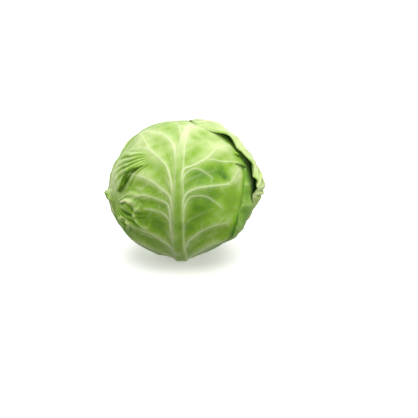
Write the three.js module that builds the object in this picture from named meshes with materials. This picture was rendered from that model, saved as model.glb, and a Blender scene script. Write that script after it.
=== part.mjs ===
// A head of cabbage standing on its cut stem, in millimetres.
//
// Frame: the origin is the centre of the stem's cut face, +Z runs up the stem through the crown, and the
// front leaf's midrib faces -Y. Azimuths turn about +Z, from -Y at 0 towards +X at 90.
//
// Every leaf grows from the stem and wraps up over the tight inner head. A place on the head is a unit
// direction d from its centre and a height above the inner head's surface. A leaf's own place is an angle
// along its midrib, 0 at the stem and 180 at the crown, and an angle across, 0 on the midrib. Each leaf
// lies on the summed thickness of the leaves that were there before it, so no two of them can cross.

import * as THREE from "three";
import { mergeVertices } from "three/addons/utils/BufferGeometryUtils.js";

// Driving dimensions
const HEART_RADIUS = 74;
const HEART_RISE = 67;
const HEART_DROP = 64;
const CENTRE_HEIGHT = 74.2;
const BLADE = 1.0;
const GAP = 1.0;

const STEM_RADIUS = 17;
const STEM_CHAMFER = 1.2;
const STEM_SEAT_GAP = 0.4;
const STEM_SIDES = 28;

const BASE_POLAR_ANGLE = 15;
const BASE_WIDTH_SHARE = 0.21;
const BASE_REACH = 6;
const WIDEST_AT = 0.62;
const LEAN_POWER = 2;
const TIP_END = 0.992;
const EDGE_UNEVEN = 0.1;
const EDGE_WAVES = 21;

const RIB_BASE_HEIGHT = 4.2;
const RIB_TIP_HEIGHT = 0.8;
const RIB_BASE_HALF_WIDTH = 9;
const RIB_TIP_HALF_WIDTH = 2.5;

const ROLL_LENGTH = 17;
const TURN_START = 0.3;
const COVER_REACH = 32;
const COVER_FULL = 4;
const BARE_REACH = 16;
const BARE_START = 4;
const PUCKER_DEPTH = 2;
const PUCKER_LENGTH = 24;

const LEAF_ROWS = 23;
const TIP_CROWDING = 1.35;
const SIDE_SPLITS = [0.15, 0.3, 0.45, 0.59, 0.72, 0.83, 0.92, 1];
const HEART_AROUND = 30;
const HEART_DOWN = 20;

// The leaves, innermost first. Angles are in degrees: the midrib's azimuth, where the tip ends along the
// midrib, how far the tip leans aside, and the half widths at the widest place, to the left and to the right
// as seen from outside. blunt is how blunt the tip is. turn is how far the free margins roll outwards. A
// flare is a place where a margin rolls further: its side (-1 left, 1 right), its place and spread as shares
// of the leaf's length, and its turn. A puff is a place where the blade swells outwards: its angles along and
// across, its spread and its lift in millimetres.
const LEAVES = [
  {
    name: "inner_leaf_back", azimuth: 172, tip: 172, lean: 0, left: 60, right: 60, blunt: 2.4, turn: 10,
    flares: [], puffs: [],
  },
  {
    name: "inner_leaf_left", azimuth: -50, tip: 168, lean: 0, left: 58, right: 60, blunt: 2.4, turn: 10,
    flares: [], puffs: [],
  },
  {
    name: "inner_leaf_right", azimuth: 88, tip: 170, lean: 0, left: 66, right: 60, blunt: 2.4, turn: 12,
    flares: [], puffs: [],
  },
  {
    name: "leaf_left", azimuth: -122, tip: 184, lean: 0, left: 64, right: 72, blunt: 2.4, turn: 14,
    flares: [
      { side: -1, at: 0.5, spread: 0.14, turn: 36 },
      { side: 1, at: 0.42, spread: 0.12, turn: 36 },
    ],
    puffs: [],
  },
  {
    name: "leaf_front", azimuth: -3, tip: 198, lean: 10, left: 78, right: 60, blunt: 2.4, turn: 12,
    flares: [
      { side: -1, at: 0.48, spread: 0.09, turn: 30 },
      { side: 1, at: 0.3, spread: 0.12, turn: 28 },
    ],
    puffs: [],
  },
  {
    name: "leaf_right", azimuth: 130, tip: 173, lean: -8, left: 60, right: 74, blunt: 1.2, turn: 3,
    flares: [
      { side: -1, at: 0.9, spread: 0.055, turn: 25 },
      { side: -1, at: 0.76, spread: 0.09, turn: 26 },
      { side: -1, at: 0.64, spread: 0.07, turn: 30 },
      { side: 1, at: 0.55, spread: 0.16, turn: 40 },
    ],
    puffs: [{ along: 98, across: -43, spread: 15, lift: 5 }],
  },
];

// Colours, roughness and finish
const LEAF_GREEN = 0xa9c864;
const INNER_GREEN = 0x8fbb45;
const HEART_GREEN = 0xc3d98c;
const STEM_CREAM = 0xe6e6c4;
const LEAF_ROUGHNESS = 0.45;
const STEM_ROUGHNESS = 0.7;

const radians = THREE.MathUtils.degToRad;
const lerp = THREE.MathUtils.lerp;
const ramp = THREE.MathUtils.smoothstep;
const UP = new THREE.Vector3(0, 0, 1);

// The head

// A broad unevenness that the inner head and every leaf on it share.
function swell(d) {
  return 1.1 * Math.sin(4 * d.x + 1) * Math.cos(3 * d.z - 0.6) + 0.9 * Math.sin(5 * d.y - 3 * d.z + 2);
}

// The point at a height above the inner head's surface in direction d.
function onHead(d, height) {
  const rise = d.z > 0 ? HEART_RISE : HEART_DROP;
  const out = new THREE.Vector3(d.x / HEART_RADIUS, d.y / HEART_RADIUS, d.z / rise).normalize();
  const surface = new THREE.Vector3(d.x * HEART_RADIUS, d.y * HEART_RADIUS, d.z * rise + CENTRE_HEIGHT);
  return surface.addScaledVector(out, height + swell(d));
}

// A leaf's own places

// The horizontal directions that a leaf's midrib faces and that run to its right.
function axes(leaf) {
  const a = radians(leaf.azimuth);
  return {
    face: new THREE.Vector3(Math.sin(a), -Math.cos(a), 0),
    side: new THREE.Vector3(Math.cos(a), Math.sin(a), 0),
  };
}

// The angle along its midrib where a leaf begins, at an angle across: the edge of its base follows the
// stem's round side, at one angle from the stem's axis.
function baseAngle(across) {
  return Math.acos(Math.min(1, Math.cos(radians(BASE_POLAR_ANGLE)) / Math.cos(across)));
}

// The direction at an angle along a leaf's midrib and an angle across it, in radians.
function direction(leaf, along, across) {
  const { face, side } = axes(leaf);
  return new THREE.Vector3()
    .addScaledVector(face, Math.cos(across) * Math.sin(along))
    .addScaledVector(UP, -Math.cos(across) * Math.cos(along))
    .addScaledVector(side, Math.sin(across));
}

// How far the leaf's centre line has leant aside at a share of its length: more and more towards the tip.
function leanAt(leaf, share) {
  return radians(leaf.lean) * pastWidest(share) ** LEAN_POWER;
}

// The share of the leaf's length at direction d, and the angle aside of the leaf's centre line.
function placeOn(leaf, d) {
  const { face, side } = axes(leaf);
  const turned = Math.atan2(d.dot(face), -d.z);
  const along = turned < -Math.PI / 2 ? turned + 2 * Math.PI : turned;
  const across = Math.asin(THREE.MathUtils.clamp(d.dot(side), -1, 1));
  const base = baseAngle(across);
  const share = (along - base) / (radians(leaf.tip) - base);
  return { share, aside: across - leanAt(leaf, share) };
}

function leafLength(leaf) {
  return HEART_RADIUS * radians(leaf.tip - BASE_POLAR_ANGLE);
}

// Half the leaf's angle at its widest place, on the side that aside lies.
function widestAngle(leaf, aside) {
  return radians(aside < 0 ? leaf.left : leaf.right);
}

// How far along its tip end a share of a leaf's length is: 0 up to the widest place, 1 at the tip.
function pastWidest(share) {
  return Math.max(0, (share - WIDEST_AT) / (1 - WIDEST_AT));
}

// The share of its widest angle that a leaf has below the widest place, with a slightly uneven edge.
function lowerWidth(leaf, share, aside) {
  const grown = Math.sin((Math.PI / 2) * THREE.MathUtils.clamp(share / WIDEST_AT, 0, 1));
  const phase = leaf.azimuth * Math.sign(aside);
  const uneven = 1 + EDGE_UNEVEN * (1 - grown) * Math.sin(EDGE_WAVES * share + phase);
  return lerp(BASE_WIDTH_SHARE, 1, grown) * uneven;
}

// Half the leaf's angle aside at a share of its length: narrow at the base, widest above the middle, and a
// rounded end like a superellipse's.
function halfAngle(leaf, share, aside) {
  const upper = (1 - pastWidest(share) ** leaf.blunt) ** (1 / leaf.blunt);
  return widestAngle(leaf, aside) * Math.min(lowerWidth(leaf, share, aside), upper);
}

// How far a place lies inside a leaf's margin, in millimetres.
function insideMargin(leaf, share, aside) {
  const widest = widestAngle(leaf, aside);
  const reach = Math.abs(aside) / widest;
  const end = (pastWidest(share) ** leaf.blunt + reach ** leaf.blunt) ** (1 / leaf.blunt);
  const inside = share > WIDEST_AT ? 1 - end : lowerWidth(leaf, share, aside) - reach;
  return Math.min(HEART_RADIUS * widest * inside, share * leafLength(leaf) + BASE_REACH);
}

// How far direction d lies inside a leaf's margin, in millimetres.
function depthUnder(leaf, d) {
  const { share, aside } = placeOn(leaf, d);
  return insideMargin(leaf, share, aside);
}

// 1 under and just round a leaf, falling to 0 beyond it, so that a later leaf steps over its edge gently.
function cover(leaf, d) {
  return ramp(depthUnder(leaf, d), -COVER_REACH, -COVER_FULL);
}

// 1 where none of the later leaves lies over direction d, falling to 0 at their edges.
function bare(order, d) {
  return LEAVES.slice(order + 1).reduce(
    (share, over) => share * (1 - ramp(depthUnder(over, d), -BARE_REACH, -BARE_START)), 1);
}

// The midrib's height and half width at a share of the leaf's length.
function rib(share) {
  const taper = Math.sqrt(THREE.MathUtils.clamp(share, 0, 1));
  return {
    height: lerp(RIB_BASE_HEIGHT, RIB_TIP_HEIGHT, taper),
    halfWidth: lerp(RIB_BASE_HALF_WIDTH, RIB_TIP_HALF_WIDTH, taper),
  };
}

// The height that a leaf lies at: the summed thickness of the leaves under it.
function lieOn(order, d) {
  return LEAVES.slice(0, order).reduce((height, under) => height + cover(under, d) * (GAP + BLADE), GAP);
}

// How far a free margin turns outwards at a share of the leaf's length, in radians.
function turnAt(leaf, side, share) {
  const flares = leaf.flares.filter((flare) => flare.side === side);
  const most = flares.reduce(
    (turn, f) => Math.max(turn, f.turn * Math.exp(-(((share - f.at) / f.spread) ** 2))), leaf.turn);
  return radians(most) * ramp(share, 0, TURN_START);
}

// How far a leaf's puffs lift it at direction d: each like a bell.
function puffAt(leaf, d) {
  return leaf.puffs.reduce((lift, puff) => {
    const apart = d.angleTo(direction(leaf, radians(puff.along), radians(puff.across)));
    return lift + puff.lift * Math.exp(-((apart / radians(puff.spread)) ** 2));
  }, 0);
}

// A strip that turns steadily through an angle over ROLL_LENGTH: at a distance along it, how far it has
// fallen back from a flat strip and how far it has lifted.
function roll(distance, turn) {
  if (distance <= 0 || turn < 1e-3) return { back: 0, lift: 0 };
  const radius = ROLL_LENGTH / turn;
  const angle = distance / radius;
  return { back: distance - radius * Math.sin(angle), lift: radius * (1 - Math.cos(angle)) };
}

// The direction along and across a leaf that leads in from its margin.
function inwards(leaf, share, aside) {
  const reach = Math.min(1, Math.abs(aside) / widestAngle(leaf, aside));
  const along = pastWidest(share) ** (leaf.blunt - 1);
  const sideways = reach ** (leaf.blunt - 1);
  const size = Math.hypot(along, sideways) || 1;
  return { along: -along / size, across: (-Math.sign(aside) * sideways) / size };
}

// A leaf's outer and inner points at a share of its length and a signed share of its half width.
function leafPoint(order, share, widthShare) {
  const leaf = LEAVES[order];
  const aside = widthShare * halfAngle(leaf, share, widthShare);
  const across = aside + leanAt(leaf, share);
  const along = lerp(baseAngle(across), radians(leaf.tip), share);
  const flat = direction(leaf, along, across);
  const free = bare(order, flat);

  const margin = ROLL_LENGTH - insideMargin(leaf, share, aside);
  const { back, lift } = roll(margin, free * turnAt(leaf, Math.sign(aside), share));
  const lead = inwards(leaf, share, aside);
  const x = across * HEART_RADIUS + lead.across * back;
  const y = along * HEART_RADIUS + lead.along * back;
  const d = direction(leaf, y / HEART_RADIUS, x / HEART_RADIUS);

  const pucker = (1 - Math.sin((2 * Math.PI * y) / PUCKER_LENGTH + leaf.azimuth)) / 2;
  const waved = free * PUCKER_DEPTH * pucker * ramp(margin, 0, ROLL_LENGTH) * ramp(share, 0, TURN_START);
  const inner = lieOn(order, flat) + lift + waved + free * puffAt(leaf, flat);
  const { height, halfWidth } = rib(share);
  const ridge = free * height * Math.max(0, 1 - Math.abs(aside * HEART_RADIUS) / halfWidth);
  return { outer: onHead(d, inner + BLADE + ridge), inner: onHead(d, inner) };
}

// The shares across a leaf where its points stand: the margin's splits, the midrib's feet and its crest.
function columns(leaf, share) {
  const foot = (side) => rib(share).halfWidth / (HEART_RADIUS * halfAngle(leaf, share, side));
  const right = SIDE_SPLITS.map((split) => lerp(foot(1), 1, split));
  const left = SIDE_SPLITS.map((split) => -lerp(foot(-1), 1, split)).reverse();
  return [...left, -foot(-1), 0, foot(1), ...right];
}

// A closed solid from two like grids of points, an outer and an inner face, joined round their edge.
function slab(rows) {
  const across = rows[0].length;
  const count = rows.length * across;
  const positions = ["outer", "inner"].flatMap((face) =>
    rows.flatMap((row) => row.flatMap((point) => point[face].toArray())));
  const at = (row, column) => row * across + column;
  const triangles = [];
  const quad = (a, b, c, d) => triangles.push(a, b, c, a, c, d);
  for (let row = 0; row < rows.length - 1; row++)
    for (let column = 0; column < across - 1; column++) {
      const [a, b] = [at(row, column), at(row, column + 1)];
      const [c, d] = [at(row + 1, column + 1), at(row + 1, column)];
      quad(a, b, c, d);
      triangles.push(a + count, c + count, b + count, a + count, d + count, c + count);
    }
  const wall = (a, b) => quad(b, a, a + count, b + count);
  const last = { row: rows.length - 1, column: across - 1 };
  for (let row = 0; row < last.row; row++) {
    wall(at(row + 1, 0), at(row, 0));
    wall(at(row, last.column), at(row + 1, last.column));
  }
  for (let column = 0; column < last.column; column++) {
    wall(at(0, column), at(0, column + 1));
    wall(at(last.row, column + 1), at(last.row, column));
  }
  return new THREE.BufferGeometry()
    .setAttribute("position", new THREE.Float32BufferAttribute(positions, 3))
    .setIndex(triangles);
}

function leafGeometry(order) {
  const rows = [];
  for (let row = 0; row <= LEAF_ROWS; row++) {
    const share = TIP_END * (1 - (1 - row / LEAF_ROWS) ** TIP_CROWDING);
    rows.push(columns(LEAVES[order], share).map((across) => leafPoint(order, share, across)));
  }
  return slab(rows);
}

// The tight inner head: a ball of leaves too closely pressed to part.
function heartGeometry() {
  const ball = new THREE.SphereGeometry(1, HEART_AROUND, HEART_DOWN).rotateX(Math.PI / 2);
  ball.deleteAttribute("normal");
  ball.deleteAttribute("uv");
  const closed = mergeVertices(ball, 1e-4);
  const place = closed.getAttribute("position");
  const d = new THREE.Vector3();
  for (let i = 0; i < place.count; i++) {
    const point = onHead(d.fromBufferAttribute(place, i).normalize(), 0);
    place.setXYZ(i, point.x, point.y, point.z);
  }
  return closed;
}

// The cut stem: a stub with a chamfered, flat lower face, reaching up to the underside of the inner head.
function stemGeometry() {
  const top = onHead(new THREE.Vector3(0, 0, -1), 0).z - STEM_SEAT_GAP;
  const profile = [
    [0, 0],
    [STEM_RADIUS - STEM_CHAMFER, 0],
    [STEM_RADIUS, STEM_CHAMFER],
    [STEM_RADIUS, top],
    [0, top],
  ].map(([x, y]) => new THREE.Vector2(x, y));
  return new THREE.LatheGeometry(profile, STEM_SIDES).rotateX(Math.PI / 2);
}

function finish(color, roughness) {
  return new THREE.MeshStandardMaterial({ color, roughness, metalness: 0 });
}

function piece(name, geometry, material) {
  const mesh = new THREE.Mesh(geometry, material);
  mesh.name = name;
  return mesh;
}

const cabbage = new THREE.Group();
cabbage.add(piece("stem", stemGeometry(), finish(STEM_CREAM, STEM_ROUGHNESS)));
cabbage.add(piece("heart", heartGeometry(), finish(HEART_GREEN, LEAF_ROUGHNESS)));
LEAVES.forEach((leaf, order) => {
  const green = leaf.name.startsWith("inner") ? INNER_GREEN : LEAF_GREEN;
  cabbage.add(piece(leaf.name, leafGeometry(order), finish(green, LEAF_ROUGHNESS)));
});

export default cabbage;
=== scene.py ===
import math

import bpy
import numpy as np
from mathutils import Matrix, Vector


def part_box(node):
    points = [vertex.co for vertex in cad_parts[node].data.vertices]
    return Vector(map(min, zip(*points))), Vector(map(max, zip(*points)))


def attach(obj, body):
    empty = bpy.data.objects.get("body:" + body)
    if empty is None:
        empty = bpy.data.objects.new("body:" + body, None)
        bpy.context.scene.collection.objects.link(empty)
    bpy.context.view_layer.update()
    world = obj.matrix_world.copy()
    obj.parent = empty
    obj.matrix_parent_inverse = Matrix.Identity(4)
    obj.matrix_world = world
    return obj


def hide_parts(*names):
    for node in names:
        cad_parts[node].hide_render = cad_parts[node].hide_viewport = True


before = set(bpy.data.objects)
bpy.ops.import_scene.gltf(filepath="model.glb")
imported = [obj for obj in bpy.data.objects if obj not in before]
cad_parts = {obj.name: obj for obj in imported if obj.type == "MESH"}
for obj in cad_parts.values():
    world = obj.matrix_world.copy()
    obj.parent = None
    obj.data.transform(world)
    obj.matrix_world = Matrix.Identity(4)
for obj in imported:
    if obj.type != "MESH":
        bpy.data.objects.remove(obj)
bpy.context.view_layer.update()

# The stem
# The stub of stalk that the head grew on, cut off flat with a knife just under the leaves. Its moist cream
# face shows a ring of strands round a soft pith. The head stands on it.

# The pieces are worked out in millimetres, and MM turns their points into metres.
MM = 0.001
STEM_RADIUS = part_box("stem")[1].x / MM
STEM_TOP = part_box("stem")[1].z / MM
STEM_RIM = 1.4
STEM_AROUND = 120
STEM_ROWS = 64
# Shares of the way along the stem's profile where its cut face, the face's rim and the side end.
FACE_END = 0.5
RIM_END = 0.54
SIDE_END = 0.8
CORNER_SOFT = 0.02
STRAND_RING = 0.72
STRAND_SPREAD = 0.07
STRAND_COUNT = 26
STRAND_PIT = 0.4
STEM_CREAM = (0.76, 0.76, 0.50, 1)
STEM_STRAW = (0.62, 0.60, 0.32, 1)
STEM_GREEN = (0.42, 0.52, 0.17, 1)
STEM_GRAIN_SCALE = 420.0
STEM_BLOTCH_SCALE = 90.0
SHARP_EDGE = math.radians(75)


def ramp(value, low, high):
    """0 up to low, 1 from high on, and a smooth rise between them; high may be the smaller."""
    t = np.clip((value - low) / (high - low), 0, 1)
    return t * t * (3 - 2 * t)


def grid_faces(rows, columns, around=False):
    """Two triangles for each cell of a grid of points numbered row by row. Rows run up and columns to the
    right as seen from outside; around joins the last column to the first."""
    row, column = np.meshgrid(np.arange(rows - 1), np.arange(columns - (not around)), indexing="ij")
    a = row * columns + column
    b = row * columns + (column + 1) % columns
    return np.stack([a, b, b + columns, a, b + columns, a + columns], -1).reshape(-1, 3)


def ball_faces(rows, columns):
    """A grid that closes round on itself, with a fan to one last point at its foot and one at its head."""
    foot = rows * columns
    first = np.arange(columns)
    neighbour = (first + 1) % columns
    last = first + (rows - 1) * columns
    below = np.stack([np.full(columns, foot), neighbour, first], -1)
    above = np.stack([np.full(columns, foot + 1), last, neighbour + (rows - 1) * columns], -1)
    return np.concatenate([grid_faces(rows, columns, around=True), below, above])


def solid(name, points, faces, finish, **shares):
    """A smooth mesh object from points in millimetres and triangles that number them, with its finish and
    one named share from 0 to 1 for each point as an attribute."""
    mesh = bpy.data.meshes.new(name)
    mesh.vertices.add(len(points))
    mesh.vertices.foreach_set("co", (points * MM).astype(np.float32).ravel())
    mesh.loops.add(faces.size)
    mesh.loops.foreach_set("vertex_index", faces.astype(np.int32).ravel())
    mesh.polygons.add(len(faces))
    mesh.polygons.foreach_set("loop_start", np.arange(0, faces.size, 3, dtype=np.int32))
    mesh.polygons.foreach_set("use_smooth", np.ones(len(faces), dtype=bool))
    mesh.update(calc_edges=True)
    mesh.set_sharp_from_angle(angle=SHARP_EDGE)
    for share, values in shares.items():
        layer = mesh.attributes.new(share, "FLOAT", "POINT")
        layer.data.foreach_set("value", values.astype(np.float32).ravel())
    mesh.materials.append(finish)
    piece = bpy.data.objects.new(name, mesh)
    bpy.context.scene.collection.objects.link(piece)
    return piece


def node(tree, kind, **inputs):
    """A shader node with some of its inputs set, by name, to values or to other nodes' outputs."""
    made = tree.nodes.new(kind)
    for name, value in inputs.items():
        socket = made.inputs[name.replace("_", " ")]
        if isinstance(value, bpy.types.NodeSocket):
            tree.links.new(value, socket)
        else:
            socket.default_value = value
    return made


def blended(tree, share, first, second):
    """The colour that goes from first to second as a share goes from 0 to 1."""
    mix = tree.nodes.new("ShaderNodeMix")
    mix.data_type = "RGBA"
    for socket, value in ((mix.inputs[0], share), (mix.inputs[6], first), (mix.inputs[7], second)):
        if isinstance(value, bpy.types.NodeSocket):
            tree.links.new(value, socket)
        else:
            socket.default_value = value
    return mix.outputs[2]


def scaled(tree, value, low, high, least, most):
    """A value that runs from low to high, carried over to run from least to most."""
    made = node(
        tree, "ShaderNodeMapRange", Value=value, From_Min=low, From_Max=high, To_Min=least, To_Max=most)
    return made.outputs["Result"]


def noise(tree, place, scale, detail):
    """A random field over the object's own coordinates, from 0 to 1, with finer waves as detail grows."""
    return node(tree, "ShaderNodeTexNoise", Vector=place, Scale=scale, Detail=detail).outputs["Fac"]


def attribute(tree, name):
    """One of the mesh's named shares, as a node's output."""
    made = tree.nodes.new("ShaderNodeAttribute")
    made.attribute_name = name
    return made.outputs["Fac"]


def new_finish(name):
    """A material with its node tree, its Principled shader and the object's own coordinates."""
    finish = bpy.data.materials.new(name)
    finish.use_nodes = True
    tree = finish.node_tree
    place = tree.nodes.new("ShaderNodeTexCoord").outputs["Object"]
    return finish, tree, tree.nodes["Principled BSDF"], place


def stem_flesh():
    """Cream flesh, greener towards the skin and along the strands, with a fine fibrous grain."""
    finish, tree, shader, place = new_finish("stem_flesh")
    grain = noise(tree, place, STEM_GRAIN_SCALE, 6.0)
    blotch = noise(tree, place, STEM_BLOTCH_SCALE, 3.0)
    cream = blended(tree, scaled(tree, blotch, 0.3, 0.7, 0.0, 0.5), STEM_CREAM, STEM_STRAW)
    tree.links.new(blended(tree, attribute(tree, "green"), cream, STEM_GREEN), shader.inputs["Base Color"])
    tree.links.new(scaled(tree, grain, 0.3, 0.7, 0.45, 0.7), shader.inputs["Roughness"])
    bump = node(tree, "ShaderNodeBump", Height=grain, Strength=0.35, Distance=0.0006)
    tree.links.new(bump.outputs["Normal"], shader.inputs["Normal"])
    return finish


def stem_surface():
    """A profile spun round the stem's axis: out over the cut face, up the side and in again at the top. The
    side has shallow grooves, and the strands stand in small pits in a ring on the face."""
    travel, angle = np.meshgrid(
        np.linspace(0.01, 0.99, STEM_ROWS),
        np.linspace(0, 2 * math.pi, STEM_AROUND, endpoint=False), indexing="ij")
    corners = [0, FACE_END, RIM_END, SIDE_END, 1]
    radius = np.interp(travel, corners, [0, STEM_RADIUS - STEM_RIM, STEM_RADIUS, STEM_RADIUS, 0])
    height = np.interp(travel, corners, [0, 0, STEM_RIM, STEM_TOP, STEM_TOP])
    on_side = ramp(travel, FACE_END, RIM_END + CORNER_SOFT)
    on_side = on_side * ramp(travel, SIDE_END + CORNER_SOFT, SIDE_END - CORNER_SOFT)
    radius = radius * (1 - on_side * (0.025 + 0.02 * np.sin(5 * angle + 1) + 0.012 * np.sin(23 * angle)))
    ring = np.exp(-(((radius / STEM_RADIUS - STRAND_RING) / STRAND_SPREAD) ** 2)) * (travel < FACE_END)
    strand = ring * (0.5 + 0.5 * np.cos(STRAND_COUNT * angle))
    height = height + STRAND_PIT * strand
    points = np.stack([radius * np.cos(angle), radius * np.sin(angle), height], -1).reshape(-1, 3)
    ends = np.array([[0, 0, 0], [0, 0, STEM_TOP]])
    skin = ramp(radius / STEM_RADIUS, 0.86, 0.98) * (travel < SIDE_END + CORNER_SOFT)
    green = np.append(np.maximum(0.55 * skin, 0.6 * strand), [0, 0])
    return np.concatenate([points, ends]), green


stem_points, stem_green = stem_surface()
stem_mesh_faces = ball_faces(STEM_ROWS, STEM_AROUND)
stem = solid("cut_stem", stem_points, stem_mesh_faces, stem_flesh(), green=stem_green)
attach(stem, "root")
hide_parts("stem")

# The heart
# The tight inner head. Its pale leaves are pressed together into one firm ball and don't part, so only the
# edges where one ends on the next can be felt. Every looser leaf lies on it.

HEAD_RADIUS = 74.0
HEAD_RISE = 67.0
HEAD_DROP = 64.0
HEAD_CENTRE = 74.2
HEART_ROWS = 110
HEART_AROUND = 190
HEART_EDGE_STEP = 0.28
HEART_EDGE_SOFT = 0.012
# Each inner leaf's edge is a circle on the ball: the direction of its centre, and how near the edge comes.
HEART_EDGES = [
    ((0.5, -0.6, 0.62), 0.35), ((-0.8, -0.1, 0.6), 0.3),
    ((0.3, 0.8, 0.5), 0.4), ((0.9, 0.1, 0.4), 0.5)]
HEART_PALE = (0.52, 0.62, 0.24, 1)
HEART_GREEN = (0.38, 0.52, 0.12, 1)
HEART_BLOTCH_SCALE = 30.0
HEART_WRINKLE_SCALE = 260.0


def swell(d):
    """A broad unevenness of the head: two slow waves over the direction's coordinates, in millimetres."""
    x, y, z = d[..., 0], d[..., 1], d[..., 2]
    return 1.1 * np.sin(4 * x + 1) * np.cos(3 * z - 0.6) + 0.9 * np.sin(5 * y - 3 * z + 2)


def on_head(d, height):
    """The point above direction d: a place on the head's egg shape, with a flatter underside, moved out
    along the shape's normal by the height and the swell."""
    rise = np.where(d[..., 2] > 0, HEAD_RISE, HEAD_DROP)
    flat = np.full_like(rise, HEAD_RADIUS)
    half = np.stack([flat, flat, rise], -1)
    out = d / half
    out = out / np.linalg.norm(out, axis=-1, keepdims=True)
    return d * half + np.array([0, 0, HEAD_CENTRE]) + out * (height + swell(d))[..., None]


def heart_skin():
    """Pale leaf, a little greener in soft blotches, with a waxy gloss and faint wrinkles."""
    finish, tree, shader, place = new_finish("heart_skin")
    blotch = noise(tree, place, HEART_BLOTCH_SCALE, 4.0)
    wrinkle = noise(tree, place, HEART_WRINKLE_SCALE, 5.0)
    share = scaled(tree, blotch, 0.35, 0.7, 0.0, 1.0)
    tree.links.new(blended(tree, share, HEART_PALE, HEART_GREEN), shader.inputs["Base Color"])
    tree.links.new(scaled(tree, wrinkle, 0.3, 0.7, 0.36, 0.5), shader.inputs["Roughness"])
    bump = node(tree, "ShaderNodeBump", Height=wrinkle, Strength=0.3, Distance=0.0008)
    tree.links.new(bump.outputs["Normal"], shader.inputs["Normal"])
    return finish


def heart_surface():
    """Directions all round, by the angle from the foot and the angle about the stem, laid on the head with
    a small step down at each inner leaf's edge."""
    polar, angle = np.meshgrid(
        np.linspace(0, math.pi, HEART_ROWS + 2)[1:-1],
        np.linspace(0, 2 * math.pi, HEART_AROUND, endpoint=False), indexing="ij")
    d = np.stack([np.sin(polar) * np.cos(angle), np.sin(polar) * np.sin(angle), -np.cos(polar)], -1)
    d = np.concatenate([d.reshape(-1, 3), [[0, 0, -1], [0, 0, 1]]])
    step = np.zeros(len(d))
    for centre, nearness in HEART_EDGES:
        toward = d @ (np.array(centre) / np.linalg.norm(centre))
        step = step + HEART_EDGE_STEP * ramp(
            toward, nearness + HEART_EDGE_SOFT, nearness - HEART_EDGE_SOFT)
    return on_head(d, -step)


heart = solid("heart_ball", heart_surface(), ball_faces(HEART_ROWS, HEART_AROUND), heart_skin())
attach(heart, "root")
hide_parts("heart")

# The inner leaves
# Three whole leaves that lie close on the heart, a fresher green than the waxy wrappers over them. Each
# grows from the stem and has a fleshy midrib with veins branching from it, and a thin margin.

# The blade, and the gap between it and the leaf below.
BLADE = 1.0
RIM_BLADE = 0.45
THINNING_REACH = 6.0
GAP = 1.0
# The outline: where the base begins, where the leaf is widest, and how its tip and edges run.
BASE_POLAR_ANGLE = math.radians(15)
BASE_WIDTH_SHARE = 0.21
BASE_REACH = 6.0
WIDEST_AT = 0.62
LEAN_POWER = 2
TIP_END = 0.992
TIP_CROWDING = 1.35
EDGE_UNEVEN = 0.1
EDGE_WAVES = 21
# How a margin rolls out, where leaves cover each other, and how a close margin presses on the leaf below.
ROLL_LENGTH = 17.0
TURN_START = 0.3
COVER_REACH = 32.0
COVER_FULL = 4.0
BARE_REACH = 5.0
BARE_START = 0.8
PRESSED_GAP = -1.0
PRESSED_REACH = 26.0
PRESSED_FULL = 4.0
PRESSED_BLADE = 0.12
PRESSED_TURN = math.radians(6)
LOOSE_TURN = math.radians(30)
UP = np.array([0.0, 0.0, 1.0])

# How every leaf of the head grows, innermost first. Angles are in degrees: the midrib's azimuth, where
# the tip ends along the midrib, how far the tip leans aside, the half widths at the widest place to the
# left and right seen from outside, and the turn that its free margins roll outwards by. Blunt is how blunt
# the tip is. A flare is a place where a margin rolls further: its side (-1 left, 1 right), its place and
# spread as shares of the leaf's length, and its turn. A puff is a place where the blade swells outwards:
# its angles along and across, its spread and its lift in millimetres.
GROWTH = [
    {"name": "inner_leaf_back", "azimuth": 172, "tip": 172, "lean": 0, "left": 60, "right": 60,
     "blunt": 2.4, "turn": 10, "flares": [], "puffs": []},
    {"name": "inner_leaf_left", "azimuth": -50, "tip": 168, "lean": 0, "left": 58, "right": 60,
     "blunt": 2.4, "turn": 10, "flares": [], "puffs": []},
    {"name": "inner_leaf_right", "azimuth": 88, "tip": 170, "lean": 0, "left": 66, "right": 60,
     "blunt": 2.4, "turn": 12, "flares": [], "puffs": []},
    {"name": "leaf_left", "azimuth": -122, "tip": 184, "lean": 0, "left": 64, "right": 72,
     "blunt": 2.4, "turn": 14, "flares": [(-1, 0.5, 0.14, 36), (1, 0.42, 0.12, 36)], "puffs": []},
    {"name": "leaf_front", "azimuth": -3, "tip": 198, "lean": 10, "left": 78, "right": 60,
     "blunt": 2.4, "turn": 12, "flares": [(-1, 0.48, 0.09, 30), (1, 0.3, 0.12, 28)], "puffs": []},
    {"name": "leaf_right", "azimuth": 130, "tip": 173, "lean": -8, "left": 60, "right": 74,
     "blunt": 1.2, "turn": 3,
     "flares": [(-1, 0.9, 0.055, 25), (-1, 0.76, 0.09, 26), (-1, 0.64, 0.07, 30), (1, 0.55, 0.16, 40)],
     "puffs": [(98, -43, 15, 5)]},
]
ORDER = {leaf["name"]: order for order, leaf in enumerate(GROWTH)}

# The midrib and the veins. Each pair of values is for the start of a vein and for its end.
RIB_STEPS = 30
RIB_WIDTHS = (8.0, 1.6)
RIB_HEIGHTS = (3.2, 0.4)
VEIN_STEPS = 12
FIRST_ROOT = 0.06
LAST_ROOT = 0.8
VEIN_LOOK = {"width": (1.7, 0.5), "rise": (0.85, 0.15), "pale": (0.8, 0.35)}
FORK_LOOK = {"width": (0.9, 0.35), "rise": (0.45, 0.15), "pale": (0.55, 0.2)}
BETWEEN_LOOK = {"width": (0.9, 0.4), "rise": (0.4, 0.1), "pale": (0.45, 0.1)}
MINOR_LOOK = {"width": (0.7, 0.35), "rise": (0.25, 0.05), "pale": (0.34, 0.06)}
MINOR_SPACING = 9.0
FAR_FROM_VEIN = 30.0

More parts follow.
